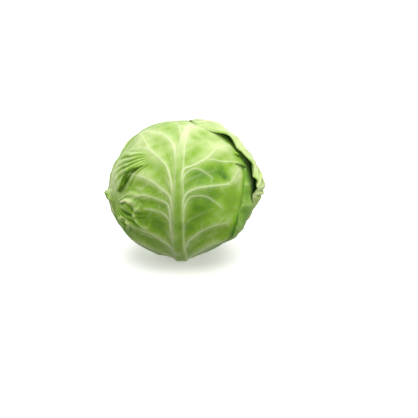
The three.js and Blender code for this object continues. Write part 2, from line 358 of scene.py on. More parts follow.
# The hollows between the veins, the blade's broad unevenness, and the waves along a loose margin.
WAVE_COUNT = 14
HOLLOW_REACH = 12.0
HOLLOW_DEPTH = 1.5
UNEVEN_SIZE = 34.0
UNEVEN_HEIGHT = 0.5
DRIFT_SIZE = 45.0
DRIFT_TURN = 2.5
RUFFLE_LENGTH = 21.0
RUFFLE_REACH = 18.0
CRINKLE_LENGTH = 9.5
CRINKLE_REACH = 11.0
CRINKLE_SHARE = 0.16

# A fold's crevice and raised lip, and a crumple's creases.
CREVICE_DEPTH = 1.8
CREVICE_REACH = 2.2
LIP_HALF_WIDTH = 0.9
LIP_GREEN = 0.4
LIP_GREEN_REACH = 2.5
CREASE_SHARPNESS = 5.0

# How lush the green is, as shares from 0 to 1, and how far in from its margin a leaf is greener.
LUSH = 0.3
LUSH_IN_HOLLOWS = 0.2
# The fold share is painted shade: deeper green in the crevices of tucks and the hollows of crumples and
# gathers, paler on their crests as painted light, with a green strip along each tuck's lip.
LUSH_IN_FOLD_SHADE_AND_LIP = 0.8
LUSH_IN_STREAKS = 0.07
GREEN_RIM = 9.0

# The patterns of the finish. A scale is a count to the metre, and the reach is in metres.
LEAF_BLOTCH_SCALE = 55.0
LEAF_GRAIN_SCALE = 700.0
VEINLET_SCALE = 190.0
VEINLET_SHOW = 0.06
STRAY_SCALE = 120.0
STRAY_REACH = 0.004

LEAF_SEEDS = {name: 40 + order for name, order in ORDER.items()}
INNER_ROWS = 141
INNER_COLUMNS = 141
INNER_COLOURS = {
    "pale": (0.38, 0.56, 0.10, 1), "green": (0.18, 0.38, 0.02, 1),
    "deep": (0.05, 0.18, 0.003, 1), "vein": (0.55, 0.68, 0.28, 1)}


def leaf_axes(leaf):
    """The level directions that a leaf's midrib faces and that run to its right."""
    a = math.radians(leaf["azimuth"])
    return np.array([math.sin(a), -math.cos(a), 0.0]), np.array([math.cos(a), math.sin(a), 0.0])


def direction(leaf, along, across):
    """The direction at an angle along a leaf's midrib, 0 down the stem and pi at the crown, and an angle
    across it: a turn in the midrib's upright plane, then a turn out of that plane."""
    face, side = leaf_axes(leaf)
    upright = np.sin(along)[..., None] * face - np.cos(along)[..., None] * UP
    return np.cos(across)[..., None] * upright + np.sin(across)[..., None] * side


def base_angle(across):
    """The angle along where a leaf begins: its base follows the stem at one angle from the stem's axis."""
    return np.arccos(np.minimum(1, math.cos(BASE_POLAR_ANGLE) / np.cos(across)))


def lean_at(leaf, share):
    """How far the leaf's centre line has leant aside: nothing up to the widest place, then as a square."""
    return math.radians(leaf["lean"]) * past_widest(share) ** LEAN_POWER


def place_on(leaf, d):
    """The share of a leaf's length at direction d, and the angle aside of the leaf's centre line."""
    face, side = leaf_axes(leaf)
    turned = np.arctan2(d @ face, -d[..., 2])
    along = np.where(turned < -math.pi / 2, turned + 2 * math.pi, turned)
    across = np.arcsin(np.clip(d @ side, -1, 1))
    base = base_angle(across)
    share = (along - base) / (math.radians(leaf["tip"]) - base)
    return share, across - lean_at(leaf, share)


def leaf_length(leaf):
    """The length of a leaf's midrib along the head, in millimetres."""
    return HEAD_RADIUS * (math.radians(leaf["tip"]) - BASE_POLAR_ANGLE)


def widest_angle(leaf, aside):
    """Half the leaf's angle at its widest place, on the side that aside lies."""
    return np.radians(np.where(aside < 0, leaf["left"], leaf["right"]))


def past_widest(share):
    """0 up to the widest place, then in proportion to 1 at the tip."""
    return np.maximum(0, (share - WIDEST_AT) / (1 - WIDEST_AT))


def lower_width(leaf, share, aside):
    """The share of the widest angle below the widest place: a quarter sine wave with an uneven edge."""
    grown = np.sin(math.pi / 2 * np.clip(share / WIDEST_AT, 0, 1))
    uneven = 1 + EDGE_UNEVEN * (1 - grown) * np.sin(EDGE_WAVES * share + leaf["azimuth"] * np.sign(aside))
    return (BASE_WIDTH_SHARE + (1 - BASE_WIDTH_SHARE) * grown) * uneven


def half_angle(leaf, share, aside):
    """Half the leaf's angle aside: the lower width, and a superellipse's rounded end above it."""
    past = np.minimum(1, past_widest(share))
    upper = (1 - past ** leaf["blunt"]) ** (1 / leaf["blunt"])
    return widest_angle(leaf, aside) * np.minimum(lower_width(leaf, share, aside), upper)


def inside_margin(leaf, share, aside):
    """How far a place lies inside a leaf's margin, in millimetres: what is left of the superellipse's
    radius near the tip, of the width below it, and of the way to the base."""
    widest = widest_angle(leaf, aside)
    reach = np.abs(aside) / widest
    end = (past_widest(share) ** leaf["blunt"] + reach ** leaf["blunt"]) ** (1 / leaf["blunt"])
    inside = np.where(share > WIDEST_AT, 1 - end, lower_width(leaf, share, aside) - reach)
    return np.minimum(HEAD_RADIUS * widest * inside, share * leaf_length(leaf) + BASE_REACH)


def depth_under(leaf, d):
    """How far direction d lies inside a leaf's margin, in millimetres."""
    return inside_margin(leaf, *place_on(leaf, d))


def bare(order, d):
    """1 where no later leaf lies over direction d, falling to 0 at their edges."""
    share = np.ones(d.shape[:-1])
    for over in GROWTH[order + 1:]:
        share = share * ramp(depth_under(over, d), -BARE_START, -BARE_REACH)
    return share


def lie_on(order, d):
    """The height that a leaf lies at: the summed thickness of the leaves under it, each easing in before
    its edge is reached."""
    height = np.full(d.shape[:-1], GAP)
    for under in GROWTH[:order]:
        height = height + (GAP + BLADE) * ramp(depth_under(under, d), -COVER_REACH, -COVER_FULL)
    return height


def turn_at(leaf, share, aside):
    """How far a free margin turns outwards, in radians: the leaf's own turn or the nearest flare's, whose
    turn falls away to both sides like a bell, and none at the base."""
    turn = np.full(share.shape, float(leaf["turn"]))
    for side, at, spread, most in leaf["flares"]:
        flare = most * np.exp(-(((share - at) / spread) ** 2))
        turn = np.where(np.sign(aside) == side, np.maximum(turn, flare), turn)
    return np.radians(turn) * ramp(share, 0, TURN_START)


def roll(distance, turn):
    """A strip that turns steadily through an angle over ROLL_LENGTH, so it follows an arc: at a distance
    along it, how far it has fallen back from a flat strip and how far it has lifted."""
    turn = np.maximum(turn, 1e-4)
    distance = np.maximum(distance, 0)
    radius = ROLL_LENGTH / turn
    angle = distance / radius
    return distance - radius * np.sin(angle), radius * (1 - np.cos(angle))


def bell(leaf, d, along, across, spread):
    """1 at a place of a leaf, falling away to all sides like a bell; the spread is in degrees."""
    middle = direction(leaf, np.radians(along), np.radians(across))
    apart = np.degrees(np.arccos(np.clip(d @ middle, -1, 1)))
    return np.exp(-((apart / spread) ** 2))


def inwards(leaf, share, aside):
    """The unit step along and across that leads in from the margin: down the superellipse's slope."""
    reach = np.minimum(1, np.abs(aside) / widest_angle(leaf, aside))
    along = past_widest(share) ** (leaf["blunt"] - 1)
    sideways = reach ** (leaf["blunt"] - 1)
    size = np.maximum(np.hypot(along, sideways), 1e-9)
    return -along / size, -np.sign(aside) * sideways / size


def waves(points, size, seed):
    """An even random field from about -1 to 1 with bumps of a size in millimetres: the sum of plane waves
    in random directions with random phases."""
    draw = np.random.default_rng(seed)
    ways = draw.normal(size=(WAVE_COUNT, 3))
    ways = ways / np.linalg.norm(ways, axis=1, keepdims=True)
    ways = ways * (2 * math.pi / size) * draw.uniform(0.7, 1.3, (WAVE_COUNT, 1))
    phases = draw.uniform(0, 2 * math.pi, WAVE_COUNT)
    return np.cos(points @ ways.T + phases).sum(-1) / math.sqrt(2 * WAVE_COUNT)


def between(ends, t):
    """The value that runs evenly from the first of two ends to the second as t goes from 0 to 1."""
    return ends[0] + (ends[1] - ends[0]) * t


def smooth_path(leaf, places, steps):
    """Directions along a smooth curve through places given as degrees along and across: a cubic between
    each two, whose slope at a place is that of the line between its neighbours."""
    places = np.radians(np.array(places, float))
    slope = np.gradient(places, axis=0)
    at = np.linspace(0, len(places) - 1, steps + 1)
    k = np.minimum(at.astype(int), len(places) - 2)
    t = (at - k)[:, None]
    here, there = places[k], places[k + 1]
    curve = (here * (1 + 2 * t) + slope[k] * t) * (1 - t) ** 2
    curve = curve + (there * (3 - 2 * t) - slope[k + 1] * (1 - t)) * t * t
    return direction(leaf, curve[:, 0], curve[:, 1])


def beside(path, d):
    """For each direction, by the nearest of a path's straight steps: the distance in millimetres, how far
    along the path it is from 0 to 1, and the unit vector to the path's left."""
    start, step = path[:-1], np.diff(path, axis=0)
    away = d[:, None, :] - start
    t = np.clip((away * step).sum(-1) / (step * step).sum(-1), 0, 1)
    distance = np.linalg.norm(away - t[..., None] * step, axis=-1)
    nearest = distance.argmin(1)
    row = np.arange(len(d))
    left = np.cross(d, step[nearest])
    left = left / np.linalg.norm(left, axis=-1, keepdims=True)
    return HEAD_RADIUS * distance[row, nearest], (nearest + t[row, nearest]) / len(step), left


def vein(leaf, places, look, steps=VEIN_STEPS):
    """A vein or a crease: its path, and its look, which gives its half width, its rise and its paleness at
    its start and its end."""
    return {"path": smooth_path(leaf, places, steps), **look}


def lateral_veins(leaf, count, seed):
    """Veins that leave the midrib in turn on both sides, keep beside it for a while and then bend out to
    the margin: a power of the way along gives the way across. Each forks once, and the fork bends up
    towards the tip."""
    draw = np.random.default_rng(seed)
    t = np.linspace(0, 1, 6)
    veins = []
    for side in (-1, 1):
        for root in np.linspace(FIRST_ROOT, LAST_ROOT, count) + draw.uniform(-0.03, 0.03, count):
            span = draw.uniform(0.2, 0.3) * (1.15 - root)
            share = root + span * (1.5 * t - 0.5 * t ** 2)
            wide = side * (0.02 + 0.9 * t ** draw.uniform(1.25, 1.6))
            fork_wide = side * (abs(wide[3]) + (0.85 - abs(wide[3])) * t ** 1.2)
            fork_share = share[3] + span * (0.9 * t + 0.2 * t ** 2)
            fork_share = np.minimum(fork_share, 0.97)
            for shares, wides, look in ((share, wide, VEIN_LOOK), (fork_share, fork_wide, FORK_LOOK)):
                across = lean_at(leaf, shares) + wides * half_angle(leaf, shares, wides)
                base = base_angle(across)
                along = base + shares * (math.radians(leaf["tip"]) - base)
                places = np.degrees(np.stack([along, across], -1))
                veins.append(vein(leaf, places, look))
    return veins


def veins_between(veins, reach):
    """Fainter veins half way between each two neighbours, for a share of their length."""
    made = []
    for first, second in zip(veins[:-1], veins[1:]):
        path = first["path"] + second["path"]
        path = path[:max(3, int(reach * len(path)))]
        path = path / np.linalg.norm(path, axis=1, keepdims=True)
        made.append({"path": path, **BETWEEN_LOOK})
    return made


def minor_veins(veins, seed):
    """Fine veins that leave the larger ones every few millimetres on alternate sides, at about sixty
    degrees, and curve gently as they run."""
    draw = np.random.default_rng(seed)
    made = []
    for large in veins:
        path = large["path"]
        length = HEAD_RADIUS * np.linalg.norm(np.diff(path, axis=0), axis=1).sum()
        for index, at in enumerate(np.arange(MINOR_SPACING, length, MINOR_SPACING) / length):
            k = min(int(at * (len(path) - 1)), len(path) - 2)
            here = path[k] + (path[k + 1] - path[k]) * (at * (len(path) - 1) - k)
            ahead = path[k + 1] - path[k]
            ahead = ahead / np.linalg.norm(ahead)
            aside = np.cross(here, ahead) * (1 if index % 2 else -1)
            turn = math.radians(draw.uniform(45, 70))
            bend = draw.uniform(-0.012, 0.002)
            run = np.linspace(0, draw.uniform(9, 20), 7)[:, None] / HEAD_RADIUS
            heading = turn + bend * run * HEAD_RADIUS
            line = here + run * (np.cos(heading) * ahead + np.sin(heading) * aside)
            line = line / np.linalg.norm(line, axis=1, keepdims=True)
            made.append({"path": line, **MINOR_LOOK})
    return made


def draw_veins(veins, d):
    """The rise and the paleness that veins give at each direction: a bell across the vein whose half width,
    rise and paleness run evenly from its start to its end, with a broad faint halo to the paleness. The
    largest at a place counts."""
    rise = np.zeros(len(d))
    pale = np.zeros(len(d))
    for one in veins:
        path = one["path"]
        middle = path[len(path) // 2]
        reach = np.linalg.norm(path - middle, axis=1).max() + 4 * max(one["width"]) / HEAD_RADIUS
        near = np.flatnonzero(((d - middle) ** 2).sum(-1) < reach ** 2)
        distance, t, _ = beside(path, d[near])
        width = between(one["width"], t)
        begun = ramp(t, -0.05, 0.25)
        crown = np.exp(-((distance / width) ** 2)) * begun
        halo = 0.3 * np.exp(-((distance / (3.2 * width)) ** 2)) * begun
        height = between(one["rise"], t) * crown
        paler = between(one["pale"], t) * np.maximum(crown, halo)
        rise[near] = np.where(np.abs(height) > np.abs(rise[near]), height, rise[near])
        pale[near] = np.maximum(pale[near], paler)
    return rise, pale


def nearest_vein(veins, d):
    """The distance in millimetres from each direction to the nearest of some veins, up to a limit."""
    least = np.full(len(d), FAR_FROM_VEIN)
    for one in veins:
        path = one["path"]
        middle = path[len(path) // 2]
        reach = np.linalg.norm(path - middle, axis=1).max() + FAR_FROM_VEIN / HEAD_RADIUS
        near = np.flatnonzero(((d - middle) ** 2).sum(-1) < reach ** 2)
        least[near] = np.minimum(least[near], beside(path, d[near])[0])
    return least


def midrib(leaf, places, d):
    """A leaf's midrib along a path: a flat-topped ridge, broad and high at the base, narrowing with the
    root of the way along and fading out at the tip. Also how pale it is: greenish between two whitish
    shoulders low down, and whitish all over further up."""
    distance, t, _ = beside(smooth_path(leaf, places, RIB_STEPS), d)
    taper = np.sqrt(t)
    across = distance / between(RIB_WIDTHS, taper)
    ending = ramp(t, 1.0, 0.9)
    ridge = between(RIB_HEIGHTS, taper) * ending * ramp(across, 1.35, 0.55)
    shoulder = np.exp(-(((across - 0.95) / 0.2) ** 2))
    middle = ramp(across, 1.2, 0.8) * (0.05 + 0.6 * ramp(t, 0.3, 0.7))
    return ridge, ending * np.minimum(middle + 0.4 * shoulder, 1)


def tuck(path, d, lift, reach, overlap, first, last):
    """A fold where the part on the path's left rises and overhangs the part on its right: a smooth step up
    across the path, dying away over a reach, with the raised lip slid back over the path and a crevice
    sunk beside it. It is fully open between its first and last shares of the path. Gives the rise, the
    slide and a share of deeper green: painted shade down in the crevice, and a green strip along the lip's
    edge."""
    distance, t, left = beside(path, d)
    nearest = path[np.clip((t * (len(path) - 1)).round().astype(int), 0, len(path) - 1)]
    side = distance * np.sign(((d - nearest) * left).sum(-1))
    strength = ramp(t, 0.0, first) * ramp(t, 1.0, last)
    step = strength * ramp(side, -LIP_HALF_WIDTH, LIP_HALF_WIDTH)
    lip = step * np.exp(-np.maximum(side, 0) / reach)
    edge = step * np.exp(-np.maximum(side, 0) / LIP_GREEN_REACH)
    crevice = strength * ramp(side, 1.0, -0.4) * np.exp(np.minimum(side, 0) / CREVICE_REACH)
    rise = lift * lip - CREVICE_DEPTH * crevice
    return rise, -overlap * lip[:, None] * left, crevice + LIP_GREEN * edge


def gather(leaf, d, seed, place, toward, window, reach, height, count, wander):
    """Folds that spread like a fan from a pinched place: a rectified wave of the angle about the place, so
    many to a full turn, that wanders with random waves. They fill a window of angles about one direction,
    in degrees from the leaf's right, and die away over a reach. Also the painted shading: deeper green
    between the folds as painted shade, and paler on their crests as painted light."""
    centre = direction(leaf, *np.radians(place))
    right = leaf_axes(leaf)[1]
    right = right - (right @ centre) * centre
    right = right / np.linalg.norm(right)
    around = np.arctan2(d @ np.cross(centre, right), d @ right)
    off = np.degrees(np.abs((around - math.radians(toward) + math.pi) % (2 * math.pi) - math.pi))
    far = HEAD_RADIUS * np.arccos(np.clip(d @ centre, -1, 1))
    stray = waves(HEAD_RADIUS * d, 24, seed + 500) + 0.35 * waves(HEAD_RADIUS * d, 15, seed + 600)
    crest = np.abs(np.cos(0.5 * count * around + wander * stray))
    zone = ramp(far, 0, 0.4 * reach) * ramp(far, reach, 0.4 * reach) * ramp(off, window, 0.5 * window)
    return height * zone * crest, zone * (0.75 - crest)


def crumple(leaf, d, seed, place, spread, height, size):
    """Creases like those of crushed paper, in a bell about a place: a random field's zero lines stand up as
    sharp ridges. Also the painted shading: deeper green in the hollows between them as painted shade, and
    paler on the ridges as painted light."""
    zone = bell(leaf, d, *place, spread)
    crest = np.exp(-CREASE_SHARPNESS * np.abs(waves(HEAD_RADIUS * d, size, seed + 800)))
    return height * zone * crest, zone * (0.3 - crest)


def leaf_faces(rows, columns):
    """The triangles of a leaf: a fine outer face, an inner face of every second point, turned over, and a
    rim that joins two outer steps to each inner one."""
    small_rows, small_columns = (rows + 1) // 2, (columns + 1) // 2

    def outline(tall, wide):
        """The numbers of the points round a grid's edge, in turn."""
        number = np.arange(tall * wide).reshape(tall, wide)
        return np.concatenate([number[0, :-1], number[:-1, -1], number[-1, :0:-1], number[:0:-1, 0]])

    inner = grid_faces(small_rows, small_columns)[:, ::-1] + rows * columns
    out = outline(rows, columns)
    first, middle, last = out[0::2], out[1::2], np.roll(out[0::2], -1)
    here = outline(small_rows, small_columns) + rows * columns
    there = np.roll(here, -1)
    rim = [np.stack(corners, -1) for corners in
           ((middle, first, here), (middle, here, there), (last, middle, there))]
    return np.concatenate([grid_faces(rows, columns), inner, *rim])


def leaf_skin(name, colours):
    """A waxy leaf. Its colour runs from pale to deep green by the lush share, with soft blotches, then to
    the vein colour by the vein share and along a fine net of veinlets, which also stands out in relief."""
    finish, tree, shader, place = new_finish(name)
    lush, pale = attribute(tree, "lush"), attribute(tree, "vein")
    blotch = noise(tree, place, LEAF_BLOTCH_SCALE, 5.0)
    fine = noise(tree, place, LEAF_GRAIN_SCALE, 4.0)
    shift = node(tree, "ShaderNodeVectorMath", Vector=place)
    shift.operation = "MULTIPLY_ADD"
    stray = node(tree, "ShaderNodeTexNoise", Vector=place, Scale=STRAY_SCALE).outputs["Color"]
    tree.links.new(stray, shift.inputs[0])
    shift.inputs[1].default_value = (STRAY_REACH, STRAY_REACH, STRAY_REACH)
    tree.links.new(place, shift.inputs[2])
    cells = node(tree, "ShaderNodeTexVoronoi", Vector=shift.outputs["Vector"], Scale=VEINLET_SCALE)
    cells.feature = "DISTANCE_TO_EDGE"
    net = scaled(tree, cells.outputs["Distance"], 0.0, 0.09, 1.0, 0.0)

    blotched = node(tree, "ShaderNodeMath")
    blotched.operation = "ADD"
    tree.links.new(lush, blotched.inputs[0])
    tree.links.new(scaled(tree, blotch, 0.25, 0.75, -0.14, 0.14), blotched.inputs[1])
    greens = tree.nodes.new("ShaderNodeValToRGB")
    greens.color_ramp.elements[0].color = colours["pale"]
    greens.color_ramp.elements[1].color = colours["deep"]
    greens.color_ramp.elements.new(0.5).color = colours["green"]
    tree.links.new(blotched.outputs["Value"], greens.inputs["Fac"])
    faint = scaled(tree, net, 0.0, 1.0, 0.0, VEINLET_SHOW)
    netted = blended(tree, faint, greens.outputs["Color"], colours["vein"])
    tree.links.new(blended(tree, pale, netted, colours["vein"]), shader.inputs["Base Color"])

    tree.links.new(scaled(tree, blotch, 0.3, 0.7, 0.36, 0.52), shader.inputs["Roughness"])
    grain = node(tree, "ShaderNodeBump", Height=fine, Strength=0.18, Distance=0.0006)
    veinlets = node(
        tree, "ShaderNodeBump", Height=net, Strength=0.22, Distance=0.0005, Normal=grain.outputs["Normal"])
    tree.links.new(veinlets.outputs["Normal"], shader.inputs["Normal"])
    shader.inputs["Subsurface Weight"].default_value = 0.3
    shader.inputs["Subsurface Radius"].default_value = (0.7, 1.0, 0.25)
    shader.inputs["Subsurface Scale"].default_value = 0.003
    shader.inputs["Specular IOR Level"].default_value = 0.2
    shader.inputs["Sheen Weight"].default_value = 0.12
    shader.inputs["Sheen Roughness"].default_value = 0.4
    return finish


def grow_leaf(name, rows, columns, rib, mains, extras, patches, folds, gathers, crumples, frill, finish):
    """A leaf as a fine grid of shares along and across. It lies on the leaves under it, and its blade is
    hollow between the veins. A loose margin rolls out and is frilled by waves along it, and a close one
    thins out and presses on the leaf below. Where no leaf covers it, the midrib, veins, puffs, crumples,
    gathers and folds stand out of it, and their hollows are painted deeper green as shade. Patches add to
    or take from how lush its green is. Its inner face is painted deeper green as shade, and paler where a
    margin turns out, as painted light."""
    order = ORDER[name]
    leaf = GROWTH[order]
    seed = LEAF_SEEDS[name]
    step, wide = np.meshgrid(np.linspace(0, 1, rows), np.linspace(-1, 1, columns), indexing="ij")
    share = (TIP_END * (1 - (1 - step) ** TIP_CROWDING)).ravel()
    wide = wide.ravel()
    aside = wide * half_angle(leaf, share, wide)
    across = aside + lean_at(leaf, share)
    base = base_angle(across)
    along = base + share * (math.radians(leaf["tip"]) - base)
    flat = direction(leaf, along, across)
    free = bare(order, flat)
    depth = inside_margin(leaf, share, aside)
    grown = ramp(share, 0, TURN_START)

    ridge, rib_pale = midrib(leaf, rib, flat)
    minors = minor_veins(mains, seed)
    vein_rise, vein_pale = draw_veins(mains + minors, flat)
    crease_rise, crease_pale = draw_veins(extras, flat)
    hollowed = ramp(nearest_vein(mains, flat), 0, HOLLOW_REACH)
    flat_mm = HEAD_RADIUS * flat

    margin = ROLL_LENGTH - depth
    turn = turn_at(leaf, share, aside)
    back, lift = roll(margin, free * turn)
    lead_along, lead_across = inwards(leaf, share, aside)
    back = back / HEAD_RADIUS
    moved = direction(leaf, along + lead_along * back, across + lead_across * back)

    loose = np.minimum(1, turn / LOOSE_TURN)
    run = leaf_length(leaf) * share + 0.6 * HEAD_RADIUS * np.abs(aside) * past_widest(share)
    drift = DRIFT_TURN * waves(flat_mm, DRIFT_SIZE, seed + 100)
    ruffle = 0.5 + 0.5 * np.cos(2 * math.pi * run / RUFFLE_LENGTH + drift)
    crinkle = 0.5 + 0.5 * np.cos(2 * math.pi * run / CRINKLE_LENGTH - 1.6 * drift)
    frilled = ruffle * ramp(depth, RUFFLE_REACH, 1) ** 1.4
    frilled = frilled + CRINKLE_SHARE * crinkle * ramp(depth, CRINKLE_REACH, 0)
    frilled = frill * loose * grown * frilled
    pressed = (GAP - PRESSED_GAP) * grown
    pressed = pressed * ramp(depth, PRESSED_REACH, PRESSED_FULL) * ramp(turn, LOOSE_TURN, PRESSED_TURN)
    uneven = UNEVEN_HEIGHT * (1 + waves(flat_mm, UNEVEN_SIZE, seed + 300))
    bulge = HOLLOW_DEPTH * (1 - hollowed) * ramp(depth, 2, 14) + uneven * grown * ramp(depth, 2, 20)
    bend = frilled + bulge + np.maximum(crease_rise, -bulge)
    for puff_along, puff_across, spread, most in leaf["puffs"]:
        bend = bend + most * bell(leaf, flat, puff_along, puff_across, spread)
    # Painted shading from the folds, crumples and gathers: deeper green in crevices and hollows as painted
    # shade, paler on crests as painted light, and a green strip along each tuck's lip.
    fold_shade_and_lip_green = np.zeros(len(flat))
    for crumpled in crumples:
        rise, hollow = crumple(leaf, flat, seed, **crumpled)
        bend = bend + rise
        fold_shade_and_lip_green = fold_shade_and_lip_green + hollow
    for gathered in gathers:
        rise, hollow = gather(leaf, flat, seed, **gathered)
        bend = bend + rise
        fold_shade_and_lip_green = fold_shade_and_lip_green + hollow
    for fold in folds:
        fold_lift, slide, crevice = tuck(d=flat, **fold)
        bend = bend + fold_lift
        fold_shade_and_lip_green = fold_shade_and_lip_green + crevice
        moved = moved + free[:, None] * slide / HEAD_RADIUS
    bend = lift + free * np.maximum(bend, 0)
    moved = moved / np.linalg.norm(moved, axis=-1, keepdims=True)

    inner_height = lie_on(order, flat) - pressed + bend
    rim_blade = between((PRESSED_BLADE, RIM_BLADE), loose)
    thick = between((rim_blade, BLADE), ramp(depth, 0, THINNING_REACH))
    outer = on_head(moved, inner_height + thick + free * np.maximum(ridge, vein_rise))
    inner = on_head(moved, inner_height).reshape(rows, columns, 3)[::2, ::2].reshape(-1, 3)

    rim = ramp(depth, GREEN_RIM, 0.5)
    streak = waves(flat_mm, 11, seed + 700) + waves(flat_mm, 30, seed + 400)
    green_edge = (0.3 * rim + 0.5 * ramp(depth, 4, 1)) * grown * loose
    lush = LUSH + LUSH_IN_HOLLOWS * hollowed + green_edge + LUSH_IN_STREAKS * streak
    lush = lush + free * LUSH_IN_FOLD_SHADE_AND_LIP * fold_shade_and_lip_green
    for patch_along, patch_across, spread, more in patches:
        lush = lush + more * bell(leaf, flat, patch_along, patch_across, spread)
    lush = np.clip(lush, 0, 1)
    pale = np.maximum(np.maximum(vein_pale, rib_pale), crease_pale)
    pale = np.clip(pale * (1 - 0.5 * rim), 0, 1)
    # Painted light and shade on the inner face: a deeper green as painted shade, turning paler and whiter
    # where a margin rolls out, as painted light on its shaded underside.
    turned_out_painted_light = ramp(depth, 20, 6) * loose
    under_lush = (0.6 - 0.6 * turned_out_painted_light).reshape(rows, columns)[::2, ::2].ravel()
    under_pale = (0.5 * pale + 0.4 * turned_out_painted_light).reshape(rows, columns)[::2, ::2].ravel()

    piece = solid(
        name + "_blade", np.concatenate([outer, inner]), leaf_faces(rows, columns), finish,
        lush=np.append(lush, under_lush), vein=np.append(pale, under_pale))
    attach(piece, "root")
    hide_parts(name)
    return piece


inner_skin = leaf_skin("inner_leaf_skin", INNER_COLOURS)
for inner_name in ("inner_leaf_back", "inner_leaf_left", "inner_leaf_right"):
    inner_leaf = GROWTH[ORDER[inner_name]]
    inner_piece = grow_leaf(
        inner_name, INNER_ROWS, INNER_COLUMNS, rib=[(14, 0), (90, 1), (140, 0), (inner_leaf["tip"] - 1, 1)],
        mains=lateral_veins(inner_leaf, 6, LEAF_SEEDS[inner_name]), extras=[], patches=[(95, -38, 40, 0.2)],
        folds=[], gathers=[], crumples=[], frill=2.2, finish=inner_skin)

# The left wrapper leaf
# A broad outer leaf at the back left, paler than the inner ones, with a strong whitish midrib. Its right
# margin is tucked under the front leaf, and its left margin under the right one.

WRAPPER_ROWS = 211
WRAPPER_COLUMNS = 221
WRAPPER_COLOURS = {
    "pale": (0.55, 0.68, 0.28, 1), "green": (0.22, 0.41, 0.02, 1),
    "deep": (0.055, 0.18, 0.002, 1), "vein": (0.72, 0.78, 0.47, 1)}

wrapper_skin = leaf_skin("wrapper_leaf_skin", WRAPPER_COLOURS)
left_leaf = GROWTH[ORDER["leaf_left"]]
left_piece = grow_leaf(
    "leaf_left", WRAPPER_ROWS, WRAPPER_COLUMNS, rib=[(14, 0), (70, -1), (120, 1), (160, 3), (183, 2)],
    mains=lateral_veins(left_leaf, 7, LEAF_SEEDS["leaf_left"]), extras=[],
    patches=[(60, 0, 30, -0.1), (86, 60, 14, -0.4)],
    folds=[], gathers=[], crumples=[], frill=3.0, finish=wrapper_skin)

# The front wrapper leaf
# The leaf that faces the viewer and reaches over the crown. Whitish veins leave its broad midrib low down
# and run beside it before they bend out. Its left side is pleated and tucked where the head was pressed.

# Places on the leaf are degrees along its midrib and across it.
FRONT_ROWS = 241
FRONT_COLUMNS = 281
FRONT_RIB = [(14, 0), (60, 0), (97, 1), (133, 1), (150, 2), (162, 3), (173, 5), (182, 9)]
FRONT_VEINS_LEFT = [
    [(24, -3), (38, -12), (46, -26), (44, -34)],
    [(44, -3), (58, -8), (68, -20), (70, -36)],
    [(60, -4), (78, -5), (86, -6), (91, -10), (93, -16), (93, -26)],
    [(72, -4), (88, -5), (97, -6), (101, -10), (105, -24), (104, -31), (96, -46)],
    [(84, -3), (99, -4), (106, -6), (111, -12), (117, -19), (122, -29), (126, -40)],
    [(96, -3), (112, -4), (122, -6), (130, -9), (137, -15), (148, -23), (163, -29), (180, -34)],
    [(122, -2), (141, -3), (148, -5), (155, -9), (162, -14), (168, -21), (176, -30)],
]
FRONT_VEINS_RIGHT = [
    [(26, 3), (42, 12), (50, 26), (48, 36)],
    [(50, 4), (64, 8), (76, 22), (76, 38)],
    [(86, 4), (99, 4), (107, 6), (111, 12), (113, 20), (115, 30), (118, 40), (126, 45), (142, 52)],
    [(104, 3), (118, 3), (126, 4), (129, 10), (135, 18), (140, 22), (150, 27), (158, 33), (169, 40)],
    [(140, 3), (152, 4), (160, 5), (168, 7), (174, 11), (177, 16), (179, 24)],
]
FRONT_FORKS = [
    [(80, 4), (96, 5), (104, 8), (106, 14), (105, 21), (100, 28), (94, 34)],
    [(137, -15), (142, -20), (149, -26), (154, -35), (159, -45), (165, -53)],
    [(135, 19), (138, 26), (141, 36), (146, 44), (150, 51)],
    [(112, 3), (122, 5), (127, 12), (125, 19), (121, 25)],
    [(150, 0), (160, 0), (166, -1), (173, -2), (185, -7)],
]
# A short crease beside a vein, the long tuck on the left, and two short hooked folds at the right margin.
FRONT_CREASE = [(129, 33), (125, 36), (119, 41)]
FRONT_TUCK = [
    (105, -53), (112, -49), (118, -46), (124, -43), (128, -40), (130, -34), (131, -29), (131, -23)]
FRONT_HOOKS = [
    [(159, 43), (164, 48), (167, 53), (169, 59)],
    [(143, 45), (148, 49), (152, 54), (154, 61)],
]
# A patch is a soft spot of deeper or paler green: its place, its spread in degrees and how much. The
# deeper spots at (124, 16), (106, 23), (128, 30), (128, 33) and (124, 37), in and beside the crease and
# just under two veins on the right, are painted shade.
FRONT_PATCHES = [
    (112, 26, 28, 0.15), (85, 32, 26, -0.1), (124, 16, 8, 0.25), (128, 30, 9, 0.1), (106, 23, 9, 0.25),
    (128, 33, 4, 0.25), (124, 37, 4, 0.3), (130, 53, 9, -0.35), (156, 24, 20, -0.3), (178, 2, 13, -0.3),
    (160, -28, 22, -0.2), (128, -14, 13, -0.1), (112, -30, 10, -0.12), (96, 29, 9, -0.2),
    (96, -14, 14, 0.15), (84, 4, 38, 0.16), (76, -34, 24, -0.05), (103, -74, 7, -0.3),
    (132, -62, 20, -0.4)]
FRONT_GATHERS = [
    {"place": (95, -57), "toward": -32, "window": 75, "reach": 48,
     "height": 3.4, "count": 21, "wander": 1.6},
    {"place": (138, -15), "toward": 186, "window": 40, "reach": 72,
     "height": 2.3, "count": 34, "wander": 0.6},
]
FRONT_CRUMPLES = [{"place": (81, -38), "spread": 14, "height": 4.0, "size": 22}]
FRONT_VEIN_LOOK = {"width": (1.4, 0.55), "rise": (0.9, 0.2), "pale": (0.95, 0.6)}
FRONT_FORK_LOOK = {"width": (1.1, 0.5), "rise": (0.6, 0.3), "pale": (0.75, 0.5)}
FRONT_CREASE_LOOK = {"width": (1.8, 2.2), "rise": (-1.2, -1.4), "pale": (0.0, 0.0)}
FRONT_VEIN_STEPS = 24
FRONT_FORK_STEPS = 16
FRONT_HOOK_STEPS = 12

